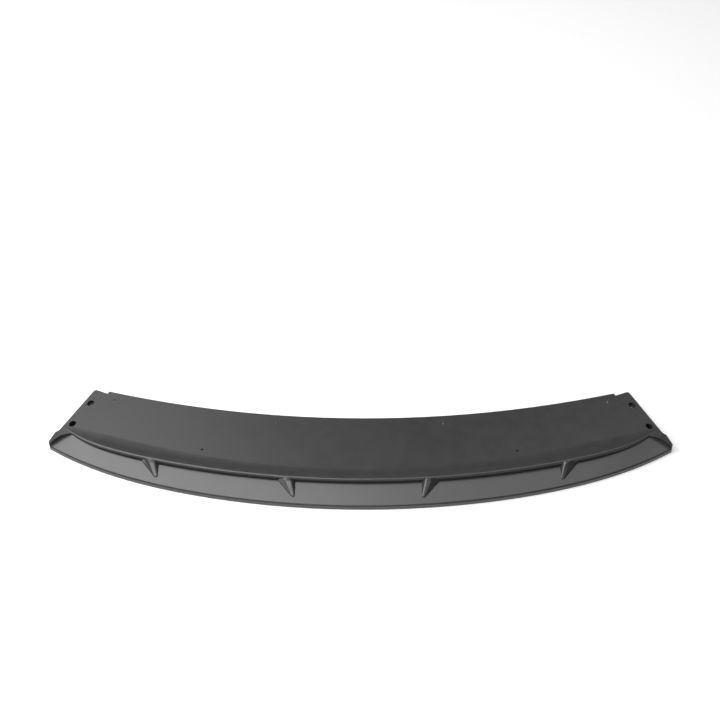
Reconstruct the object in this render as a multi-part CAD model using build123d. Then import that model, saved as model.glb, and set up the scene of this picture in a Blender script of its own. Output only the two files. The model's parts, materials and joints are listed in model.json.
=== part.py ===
from build123d import *
from math import cos, hypot, radians, sin
import os

# Front splitter lip for a car bumper: the long centre moulding, one thin plastic sheet.
# X runs across the car, -Y faces forward and +Z is up. The lip lies as it would on a bench,
# on the bottom of its front flange and on its rear edge. All sizes are in millimetres.

# Sheet
wall = 3.0

# Plan lines, with y counted back from the middle of the front edge.
# Each line bows back by x * x / (2 * radius), plus a curl that grows near its ends.
width = 1200.0
front_radius = 1520.0
front_curl = 27.0
front_curl_power = 6
crest_y = 47.9
crest_radius = 1620.0
crest_inset = 44.0
crest_curl = 23.0
crest_curl_power = 13
curl_limit = 1.02
rear_y = 225.0
rear_radius = 1830.0

# Section: front flange, blade, step, ramp behind the crest, plate
flange_height = 9.0
flange_draft = 0.8
flange_bevel = 2.0
step_foot_z = 18.0
step_end_lift = 0.5
step_lift_power = 8
step_draft = 0.6
crest_rise = 5.8
crest_end_rise = 0.6
crest_round = 3.6
crest_round_share = 0.6
ramp_width = 25.0
ramp_gain = 12.0
ramp_end_width = 8.0
ramp_fade_power = 14
ramp_blend = 0.36
plate_slope = 0.118
plate_slope_gain = 0.01

# Gusset fins on the step, each measured outwards from its tip on the blade
fin_tips_x = (121.0, 382.0)
fin_tip_gap = 15.3
fin_tip_width = 6.0
fin_tip_round = 2.2
fin_brow = 2.2
fin_brow_inset = 0.6
fin_top_start = 4.5
fin_top_width = 10.5
fin_top_round = 3.0
fin_inner_flank = 3.0
fin_outer_flank = 11.5
fin_reach = 31.0
fin_bulge = 5.5
fin_top_slope = 0.15
fin_sink = 1.7
fin_back = 2.4

# End of the lip: cut front corner, ear line, joggle, then the plate's end line with its tab
ear_angle = 23.9
ear_length = 27.9
ear_z = 17.0
ear_inset = 0.8
ear_bend_in = 6.0
ear_bend_forward = 14.0
ear_strip = 24.0
ear_tip = 3.0
ear_nose = 4.0
jog_in = 7.2
jog_back = 3.3
jog_round = 2.0
end_angle = 21.6
tab_width = 26.5
tab_setback = 7.5
tab_lead = 3.5
notch_angle = 25.0
notch_round = 0.8
corner_round = 5.0

# Screw wells in the end tabs: slots along the end line, each with a screw hole in its floor
well_length = 16.5
well_width = 11.5
well_floor = 2.0
well_stand = 0.2
well_inset = 13.5
well_from_jog = 26.8
well_spacing = 67.6
screw_d = 4.5

# Blind pilot holes in square bosses, and locating pips near the rear edge
pilot_d = 4.5
pilot_x = 300.5
pilot_behind_crest = 55.0
pilot_depth = 9.0
pip_root_d = 8.6
pip_root = 0.8
pip_sides = 6
pip_taper = 50.0
pip_height = 1.8
pip_inner_x = 163.0
pip_from_corner = 43.0
pip_from_rear = 22.5

# Making of the sheet: even sections each side of the middle, and room past the lip for cuts
stations = 16
station_margin = 6.0
clear = 60.0

half_width = width / 2
crest_half = half_width - crest_inset


def bow(x, radius, curl=0.0, half=1.0, power=2):
    """How far a plan line has swept back at x."""
    return x * x / (2 * radius) + curl * min(abs(x) / half, curl_limit) ** power


def front(x):
    return bow(x, front_radius, front_curl, half_width, front_curl_power)


def crest(x):
    return crest_y + bow(x, crest_radius, crest_curl, crest_half, crest_curl_power)


def rear(x):
    return rear_y + bow(x, rear_radius)


def plate_z(x, y):
    """Height of the plate's upper side."""
    slope = plate_slope + plate_slope_gain * (x / crest_half) ** 2
    return wall + slope * (rear(x) - y)


def ramp_share(x):
    """1 in the middle, fading to 0 where the ramp closes at the crest's ends."""
    return 1 - min(abs(x) / crest_half, 1.0) ** ramp_fade_power


def crest_z(x):
    return plate_z(x, crest(x)) + crest_end_rise + (crest_rise - crest_end_rise) * ramp_share(x)


def foot_z(x):
    """Height of the foot of the step, which lifts towards the crest's ends."""
    return step_foot_z + step_end_lift * min(abs(x) / crest_half, 1.0) ** step_lift_power


def blade_z(x, y):
    """Height of the blade's upper side, between the flange and the foot of the step."""
    start = front(x) + flange_draft
    share = (y - start) / (crest(x) - step_draft - start)
    return flange_height + share * (foot_z(x) - flange_height)


def inset_corner(before, corner, after):
    """The corner of a chain of points, moved one wall to the chain's right, mitred."""
    normals = []
    for start, end in ((before, corner), (corner, after)):
        along = (end[0] - start[0], end[1] - start[1])
        length = hypot(*along)
        normals.append((along[1] / length, -along[0] / length))
    (ay, az), (by, bz) = normals
    reach = wall / (1 + ay * by + az * bz)
    return corner[0] + (ay + by) * reach, corner[1] + (az + bz) * reach


def section(x):
    """Thin section of the sheet at x: over the top from front to rear, and back underneath."""
    full_ramp = ramp_width + ramp_gain * (x / crest_half) ** 2
    ramp = ramp_end_width + (full_ramp - ramp_end_width) * ramp_share(x)
    nose = front(x) + flange_draft
    peak = (crest(x), crest_z(x))
    valley = (crest(x) + ramp, plate_z(x, crest(x) + ramp))
    top = [
        (front(x), 0),
        (nose, flange_height - flange_bevel),
        (nose + flange_bevel, blade_z(x, nose + flange_bevel)),
        (crest(x) - step_draft, foot_z(x)),
        peak,
        valley,
        (rear(x), wall),
    ]
    under = [inset_corner(*top[i:i + 3]) for i in range(5)]
    under = [(rear(x), 0)] + under[::-1] + [(front(x) + wall, 0)]
    turn = (peak[1] - valley[1]) / ramp - (valley[1] - wall) / (rear(x) - valley[0])
    ramp_round = 2 * ramp_blend * ramp / turn
    crest_fillet = min(crest_round, crest_round_share * (peak[1] - foot_z(x)))
    rounds = [0, 0, 0, 0, crest_fillet, ramp_round, 0]
    rounds += [0, ramp_round, 0, 0, 0, 0, 0]
    outline = make_face(FilletPolyline(*top, *under, radius=rounds, close=True))
    return Plane((x, 0, 0), x_dir=(0, 1, 0), z_dir=(1, 0, 0)) * outline


def sheet():
    """The whole sheet, lofted through even sections and a little longer than the lip."""
    pitch = (half_width + station_margin) / stations
    return loft([section(pitch * i) for i in range(-stations, stations + 1)])


def heading(angle, length):
    """A step in plan, back along the car and leaning in by the angle."""
    return Vector(-sin(radians(angle)), cos(radians(angle))) * length


def end_corners():
    """Plan corners of the right end: the cut front corner's two, heel, jog and rear corner."""
    corner = Vector(half_width, front(half_width))
    tip_x = half_width - ear_tip
    tip = Vector(tip_x, front(tip_x))
    toe = corner + heading(ear_angle, ear_nose)
    heel = corner + heading(ear_angle, ear_length)
    jog = heel + Vector(-jog_in, jog_back)
    rear_corner = jog
    for _ in range(stations):
        run = (rear(rear_corner.X) - tab_lead - jog.Y) / cos(radians(end_angle))
        rear_corner = jog + heading(end_angle, run)
    return tip, toe, heel, jog, rear_corner


def half_plan():
    """Plan of the right half, open to the front: ear line, joggle, end line, tab and notch."""
    tip, toe, heel, jog, rear_corner = end_corners()
    ahead = toe + (tip - toe) * ((toe.Y + clear) / (toe.Y - tip.Y))
    notch_x = rear_corner.X - tab_width
    notch = Vector(notch_x, rear(notch_x) - tab_setback)
    notch_end = notch + heading(notch_angle, clear)
    points = [
        (0, ahead.Y),
        (ahead.X, ahead.Y),
        (toe.X, toe.Y),
        (heel.X, heel.Y),
        (jog.X, jog.Y),
        (rear_corner.X, rear_corner.Y),
        (notch.X, notch.Y),
        (notch_end.X, notch_end.Y),
        (0, notch_end.Y),
    ]
    rounds = [0, 0, 0, jog_round, jog_round, corner_round, notch_round, 0, 0]
    return make_face(FilletPolyline(*points, radius=rounds, close=True))


def raised(point, z):
    return Vector(point.X, point.Y, z)


def lid_through(a, b, c):
    """Plane through three points, facing up."""
    normal = (b - a).cross(c - a)
    return Plane(a, z_dir=normal if normal.Z > 0 else -normal)


def column(outline, bottom, lid):
    """Upright column on a plan outline, cut off by a lid."""
    return split(extrude(Pos(0, 0, bottom) * outline, clear), bisect_by=lid, keep=Keep.BOTTOM)


def plan_face(*points):
    return make_face(Polyline(*[(point.X, point.Y) for point in points], close=True))


def height_on(lid, point):
    """Height of a lid over a plan point."""
    away = point - lid.origin
    return lid.origin.Z - (away.X * lid.z_dir.X + away.Y * lid.z_dir.Y) / lid.z_dir.Z


def ear_corners():
    """Plan corners of the ear's strip: end of the crest, bend, jog, and back along the end line."""
    jog = end_corners()[-2]
    start = Vector(crest_half, crest(crest_half))
    bend = jog - Vector(ear_bend_in, ear_bend_forward)
    return start, bend, jog, jog + heading(end_angle, ear_strip)


def strip_lid():
    """Top of the ear's strip, which carries on the plate."""
    start, bend, _, back = ear_corners()
    return lid_through(
        raised(start, crest_z(start.X)),
        raised(bend, plate_z(bend.X, bend.Y) + crest_end_rise),
        raised(back, plate_z(back.X, back.Y) - crest_end_rise),
    )


def facet_lid():
    """Top of the ear's facet, which falls from the strip to the front corner."""
    _, bend, jog, _ = ear_corners()
    toe = end_corners()[1]
    lid = strip_lid()
    return lid_through(
        raised(bend, height_on(lid, bend)),
        raised(jog, height_on(lid, jog)),
        raised(toe, ear_z),
    )


def facet_plan():
    """Plan of the ear's facet, a little behind the lip's front face."""
    tip, toe, heel, jog, _ = end_corners()
    bend = ear_corners()[1]
    return plan_face(bend, tip + Vector(0, ear_inset), toe, heel, jog)


def ear():
    """Raised end of the blade: a strip that carries on the plate, and a facet down to the corner."""
    strip = column(plan_face(*ear_corners()), foot_z(crest_half) - 2 * wall, strip_lid())
    return strip + column(facet_plan(), ear_inset, facet_lid())


def ear_hollow():
    """Space under the facet of the ear, one wall inside its sides and its top."""
    inside = offset(facet_plan(), -wall, kind=Kind.INTERSECTION)
    return column(inside, -wall, facet_lid().offset(-wall))


def fin_crown(tip_x, angle):
    """Outline of a fin's bevelled top edge, from its side (0 degrees) to its flat top (90)."""
    inset = fin_top_round * (1 - cos(radians(angle)))
    start = tip_x + fin_top_start + inset
    end = tip_x + fin_top_start + fin_top_width - inset
    inner = start - fin_inner_flank
    outer = end + fin_outer_flank
    level = crest_z(tip_x) - fin_sink - fin_top_round * (1 - sin(radians(angle)))
    corners = [
        (inner, crest(inner) + fin_back),
        (start, crest(start) - fin_bulge + inset),
        (end, crest(end) - fin_bulge + inset),
        (outer, crest(outer) + fin_back),
    ]
    points = [(x, y, level + fin_top_slope * (crest(end) - y)) for x, y in corners]
    return make_face(FilletPolyline(*points, radius=[0, fin_top_round, fin_top_round, 0], close=True))


def fin_outline(tip_x, lift, inset):
    """Outline of a fin's base at a lift over the blade, set in a little from its foot."""
    tip_y = front(tip_x) + fin_tip_gap + inset
    inner = tip_x - fin_tip_width / 2 + inset
    outer = tip_x + fin_tip_width / 2 - inset
    far = tip_x + fin_reach - inset
    corners = [(inner, crest(inner)), (inner, tip_y), (outer, tip_y), (far, crest(far))]
    points = [(x, y, blade_z(tip_x, y) + lift) for x, y in corners]
    return make_face(FilletPolyline(*points, radius=[0, fin_tip_round, fin_tip_round, 0], close=True))


def fin(tip_x):
    """Gusset on the step, from a bulge in the crest down to a blunt tip on the blade."""
    crowns = [fin_crown(tip_x, angle) for angle in (90, 0)]
    brow = fin_outline(tip_x, fin_brow, fin_brow_inset)
    foot = fin_outline(tip_x, -wall / 2, 0)
    return loft(crowns + [brow, foot], ruled=True)


def well_places():
    """Centres of the two screw wells of the right end."""
    jog = end_corners()[-2]
    first = jog + heading(end_angle, well_from_jog) + heading(end_angle + 90, well_inset)
    return first, first + heading(end_angle, well_spacing)


def at_well(place):
    """Where a screw well is, with its length along the end line."""
    return Pos(place.X, place.Y) * Rot(0, 0, 90 + end_angle)


def well_cup(place):
    """Square cup around a screw well, from below its floor up into the plate."""
    corners = [place, place + Vector(well_width, 0), place + Vector(0, well_width)]
    lid = lid_through(*[raised(corner, plate_z(corner.X, corner.Y) - wall / 2) for corner in corners])
    outline = Rectangle(well_length + 2 * wall, well_width + 2 * wall)
    return column(at_well(place) * outline, well_stand, lid)


def well_cut(place):
    """What is cut for a screw well: the slot down to its floor, and the screw hole through that."""
    outline = at_well(place) * SlotOverall(well_length, well_width)
    slot = extrude(Pos(0, 0, well_stand + well_floor) * outline, clear)
    return slot + Pos(place.X, place.Y) * Cylinder(screw_d / 2, clear)


def pilot_place():
    """Middle of the pilot hole's mouth, on the plate behind the crest."""
    y = crest(pilot_x) + pilot_behind_crest
    return Pos(pilot_x, y, plate_z(pilot_x, y))


def pilot_boss():
    """Square boss under the plate around the pilot hole."""
    side = pilot_d + 2 * wall
    boss = Box(side, side, pilot_depth, align=(Align.CENTER, Align.CENTER, Align.MAX))
    return pilot_place() * Pos(0, 0, -wall / 2) * boss


def pilot_cut():
    """Blind pilot hole, which leaves about half a wall at the bottom of its boss."""
    return pilot_place() * Cylinder(pilot_d / 2, 2 * pilot_depth)


def pip_places():
    """Where the two pips of the right half are along the lip."""
    return pip_inner_x, end_corners()[-1].X - pip_from_corner


def pip(x):
    """Low tapered locating pip near the rear edge, rooted in the plate."""
    y = rear(x) - pip_from_rear
    outline = RegularPolygon(pip_root_d / 2, pip_sides)
    return Pos(x, y, plate_z(x, y) - pip_root) * extrude(outline, pip_root + pip_height, taper=pip_taper)


def both(half):
    """A right-hand feature and its mirror image on the left."""
    return half + mirror(half, Plane.YZ)


def splitter_lip():
    """The sheet trimmed to its plan, with what stands on it and what is cut from it."""
    lip = sheet() & extrude(both(half_plan()), clear)
    added = [ear(), pilot_boss()] + [fin(x) for x in fin_tips_x] + [pip(x) for x in pip_places()]
    added += [well_cup(place) for place in well_places()]
    cuts = [ear_hollow(), pilot_cut()] + [well_cut(place) for place in well_places()]
    lip += [both(feature) for feature in added]
    lip -= [both(cut) for cut in cuts]
    box = lip.bounding_box()
    return Pos(0, -box.center().Y, -box.min.Z) * lip


lip = splitter_lip()
print("valid", lip.is_valid, "solids", len(lip.solids()), "size", lip.bounding_box())
os.makedirs("parts", exist_ok=True)
export_step(lip, "parts/splitter_lip.step")
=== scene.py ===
import json
import math

import bpy
from mathutils import Matrix, Vector


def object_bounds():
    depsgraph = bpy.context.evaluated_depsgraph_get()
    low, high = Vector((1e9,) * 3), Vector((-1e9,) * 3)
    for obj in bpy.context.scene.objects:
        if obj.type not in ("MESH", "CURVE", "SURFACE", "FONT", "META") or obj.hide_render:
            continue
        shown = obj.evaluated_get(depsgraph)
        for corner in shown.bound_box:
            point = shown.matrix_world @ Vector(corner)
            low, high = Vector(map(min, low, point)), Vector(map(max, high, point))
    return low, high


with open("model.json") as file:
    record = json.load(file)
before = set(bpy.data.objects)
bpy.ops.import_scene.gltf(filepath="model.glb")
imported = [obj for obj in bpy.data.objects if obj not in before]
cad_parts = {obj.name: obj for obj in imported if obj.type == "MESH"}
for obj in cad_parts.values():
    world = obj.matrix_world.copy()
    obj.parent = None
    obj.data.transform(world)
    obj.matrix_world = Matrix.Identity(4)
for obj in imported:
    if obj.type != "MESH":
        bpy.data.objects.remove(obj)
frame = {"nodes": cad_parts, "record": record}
cad_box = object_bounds()

# The lip lies on a white studio floor. Lengths are in metres and angles in degrees.
mm_per_metre = 1000

# Camera, fitted to the photograph
camera_place = Vector((0.057, -1.816, 2.115))
camera_pitch = 45.82
camera_yaw = -1.67
camera_roll = -1.0
camera_lens_mm = 72.28
camera_sensor_mm = 36.0

# Floor and surroundings
floor_size = 16.0
floor_white = 0.9
floor_glow = 0.3
surround_grey = 0.07

# Softboxes: the middle of each, the point that it faces, its sides and its radiance
key_place = Vector((-1.43, 0.1, 2.0))
key_aim = Vector((-0.6, 0.0, 0.0))
key_sides = (1.9, 2.9)
key_radiance = 3.25
back_place = Vector((-1.8, 3.0, 3.0))
back_aim = Vector((-0.2, 0.1, 0.0))
back_sides = (2.6, 1.7)
back_radiance = 2.05
fill_place = Vector((0.9, 0.9, 2.2))
fill_aim = Vector((0.3, 0.0, 0.0))
fill_sides = (1.6, 2.4)
fill_radiance = 1.2
front_place = Vector((-1.2, -1.7, 2.3))
front_aim = Vector((0.0, 0.0, 0.0))
front_sides = (6.0, 3.2)
front_radiance = 0.5

# Black plastic
black_low = 0.030
black_high = 0.035
rough_low = 0.32
rough_high = 0.36
mottle_size = 0.025
mottle_detail = 4
grain_size = 0.0006
grain_detail = 2
grain_height = 0.00004
grain_strength = 0.25
plastic_specular = 1.0
edge_radius = 0.0010
edge_samples = 6

# Range that most of a noise lies in
noise_low = 0.3
noise_high = 0.7

# Screw wells near the ends, painted near-black as shade: half sizes of the ovals painted dark, and the
# end line's lean
well_half_width = 0.0062
well_half_length = 0.0088
well_angle = 21.6
# Painted shade: the near-black colour inside the screw wells stands in for their shadow
well_painted_shade = 0.001
well_rough = 0.8


def add(tree, kind, inputs, **settings):
    """A new node with its settings, and with its input sockets set or linked."""
    node = tree.nodes.new(kind)
    for name, value in settings.items():
        setattr(node, name, value)
    for name, value in inputs.items():
        if isinstance(value, bpy.types.NodeSocket):
            tree.links.new(value, node.inputs[name])
        else:
            node.inputs[name].default_value = value
    return node


def noise(tree, place, size, detail):
    """Even noise with blotches of about the given size."""
    node = add(tree, "ShaderNodeTexNoise", {"Vector": place, "Scale": 1 / size, "Detail": detail})
    return node.outputs["Fac"]


def spread(tree, share, low, high):
    """A share that a noise gives, spread from low to high."""
    inputs = {
        "Value": share,
        "From Min": noise_low,
        "From Max": noise_high,
        "To Min": low,
        "To Max": high,
    }
    return add(tree, "ShaderNodeMapRange", inputs).outputs["Result"]


def blend(tree, share, low, high):
    """From low to high by a share of 0 to 1."""
    inputs = {"Value": share, "To Min": low, "To Max": high}
    return add(tree, "ShaderNodeMapRange", inputs).outputs["Result"]


def well_middles():
    """Plan middles of the right-hand screw wells, from the record's mounts."""
    mounts = {mount["name"]: mount for mount in frame["record"]["mounts"]}
    for name in ("rear_screws", "front_screws"):
        half_spacing = mounts[name]["dims"]["spacing_x_mm"] / 2 / mm_per_metre
        yield Vector((half_spacing, mounts[name]["pos_m"][1], 0))


def well_shade_mask(tree, place):
    """1 inside the screw wells of both ends, where shade is painted, and 0 elsewhere."""
    right_half = add(tree, "ShaderNodeVectorMath", {0: place}, operation="ABSOLUTE").outputs["Vector"]
    xyz = add(tree, "ShaderNodeSeparateXYZ", {"Vector": right_half}).outputs
    y = add(tree, "ShaderNodeSeparateXYZ", {"Vector": place}).outputs["Y"]
    plan = add(tree, "ShaderNodeCombineXYZ", {"X": xyz["X"], "Y": y}).outputs["Vector"]
    inside = None
    for middle in well_middles():
        oval_inputs = {
            "Vector": plan,
            "Location": middle,
            "Rotation": (0, 0, math.radians(well_angle)),
            "Scale": (well_half_width, well_half_length, 1),
        }
        oval = add(tree, "ShaderNodeMapping", oval_inputs, vector_type="TEXTURE").outputs["Vector"]
        reach = add(tree, "ShaderNodeVectorMath", {0: oval}, operation="LENGTH").outputs["Value"]
        here = add(tree, "ShaderNodeMath", {0: reach, 1: 1.0}, operation="LESS_THAN").outputs["Value"]
        if inside:
            here = add(tree, "ShaderNodeMath", {0: inside, 1: here}, operation="MAXIMUM").outputs["Value"]
        inside = here
    return inside


def make_plastic(material):
    """Satin black moulded plastic: fine grain, faint mottling, slightly softened edges, and painted shade
    in the screw wells.
    """
    tree = material.node_tree
    tree.nodes.clear()
    place = add(tree, "ShaderNodeTexCoord", {}).outputs["Object"]
    wells = well_shade_mask(tree, place)
    mottle = noise(tree, place, mottle_size, mottle_detail)
    grain = noise(tree, place, grain_size, grain_detail)
    edges = add(tree, "ShaderNodeBevel", {"Radius": edge_radius}, samples=edge_samples)
    bump_inputs = {
        "Strength": grain_strength,
        "Distance": grain_height,
        "Height": grain,
        "Normal": edges.outputs["Normal"],
    }
    bump = add(tree, "ShaderNodeBump", bump_inputs)
    shader_inputs = {
        # Painted shade: inside the screw wells the colour is near-black instead of the plastic's own
        "Base Color": blend(tree, wells, spread(tree, mottle, black_low, black_high), well_painted_shade),
        "Roughness": blend(tree, wells, spread(tree, mottle, rough_low, rough_high), well_rough),
        "Specular IOR Level": plastic_specular,
        "Normal": bump.outputs["Normal"],
    }
    shader = add(tree, "ShaderNodeBsdfPrincipled", shader_inputs)
    add(tree, "ShaderNodeOutputMaterial", {"Surface": shader.outputs["BSDF"]})


def make_floor():
    """White floor that looks white to the camera and in reflections, and keeps the lip's shadow."""
    bpy.ops.mesh.primitive_plane_add(size=floor_size, location=(0, 0, cad_box[0].z))
    floor = bpy.context.object
    floor.name = "floor"
    material = bpy.data.materials.new("floor_white")
    material.use_nodes = True
    tree = material.node_tree
    tree.nodes.clear()
    white = (floor_white, floor_white, floor_white, 1)
    paint = add(tree, "ShaderNodeBsdfDiffuse", {"Color": white}).outputs["BSDF"]
    rays = add(tree, "ShaderNodeLightPath", {}).outputs
    seen = rays["Is Camera Ray"]
    for other in ("Is Glossy Ray", "Is Transmission Ray"):
        both = add(tree, "ShaderNodeMath", {0: seen, 1: rays[other]}, operation="MAXIMUM")
        seen = both.outputs["Value"]
    glow = add(tree, "ShaderNodeMath", {0: seen, 1: floor_glow}, operation="MULTIPLY").outputs["Value"]
    shine = add(tree, "ShaderNodeEmission", {"Strength": glow}).outputs["Emission"]
    surface = add(tree, "ShaderNodeAddShader", {0: paint, 1: shine}).outputs["Shader"]
    add(tree, "ShaderNodeOutputMaterial", {"Surface": surface})
    floor.data.materials.append(material)


def make_softbox(name, place, aim, sides, radiance):
    """Rectangular lamp that faces a point, as bright as its radiance says."""
    lamp = bpy.data.lights.new(name, "AREA")
    lamp.shape = "RECTANGLE"
    lamp.size, lamp.size_y = sides
    lamp.energy = radiance * math.pi * sides[0] * sides[1]
    holder = bpy.data.objects.new(name, lamp)
    holder.location = place
    holder.rotation_euler = (aim - place).to_track_quat("-Z", "Y").to_euler()
    holder.visible_camera = False
    bpy.context.scene.collection.objects.link(holder)


def make_surroundings():
    """Even grey light from all sides."""
    world = bpy.data.worlds.new("surroundings")
    world.use_nodes = True
    background = world.node_tree.nodes["Background"]
    background.inputs["Color"].default_value = (surround_grey, surround_grey, surround_grey, 1)
    bpy.context.scene.world = world


def make_camera():
    """Camera of the photograph: pitched down, turned and rolled a little."""
    lens = bpy.data.cameras.new("camera")
    lens.lens = camera_lens_mm
    lens.sensor_width = camera_sensor_mm
    camera = bpy.data.objects.new("camera", lens)
    turn = Matrix.Rotation(math.radians(-camera_yaw), 4, "Z")
    tilt = Matrix.Rotation(math.radians(90 - camera_pitch), 4, "X")
    roll = Matrix.Rotation(math.radians(camera_roll), 4, "Z")
    camera.matrix_world = Matrix.Translation(camera_place) @ turn @ tilt @ roll
    bpy.context.scene.collection.objects.link(camera)
    bpy.context.scene.camera = camera


make_plastic(frame["nodes"]["splitter_lip"].material_slots[0].material)
make_floor()
make_softbox("key", key_place, key_aim, key_sides, key_radiance)
make_softbox("back", back_place, back_aim, back_sides, back_radiance)
make_softbox("fill", fill_place, fill_aim, fill_sides, fill_radiance)
make_softbox("front", front_place, front_aim, front_sides, front_radiance)
make_surroundings()
make_camera()
bpy.context.scene.view_settings.view_transform = "Standard"
